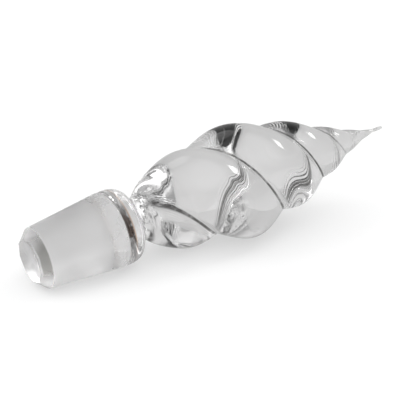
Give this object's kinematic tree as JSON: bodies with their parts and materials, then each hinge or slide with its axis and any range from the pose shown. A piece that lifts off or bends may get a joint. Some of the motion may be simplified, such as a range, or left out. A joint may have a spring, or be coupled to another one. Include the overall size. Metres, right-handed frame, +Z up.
{
  "type": "bottle stopper",
  "caption": "Clear solid-glass bottle stopper with a ground taper plug, a polished shoulder, a narrow neck and a twisted finial drawn out to a point, lying on its side.",
  "frame": {"origin": "on the floor, under the centre of the stopper's bounding box", "axes": "+Z up from the floor; +X along the lying stopper from the plug's end to the finial's point; +Y completes the right-handed set"},
  "size_m": [0.1184, 0.033, 0.0329],
  "materials": {
    "ground_glass": "fine-ground, satin",
    "clear_glass": "fire-polished, clear"
  },
  "bodies": {
    "root": {"ground_plug": "ground_glass", "shoulder": "clear_glass", "neck": "clear_glass", "strand_a": "clear_glass", "strand_b": "clear_glass", "drawn_tip": "clear_glass"}
  },
  "joints": []
}
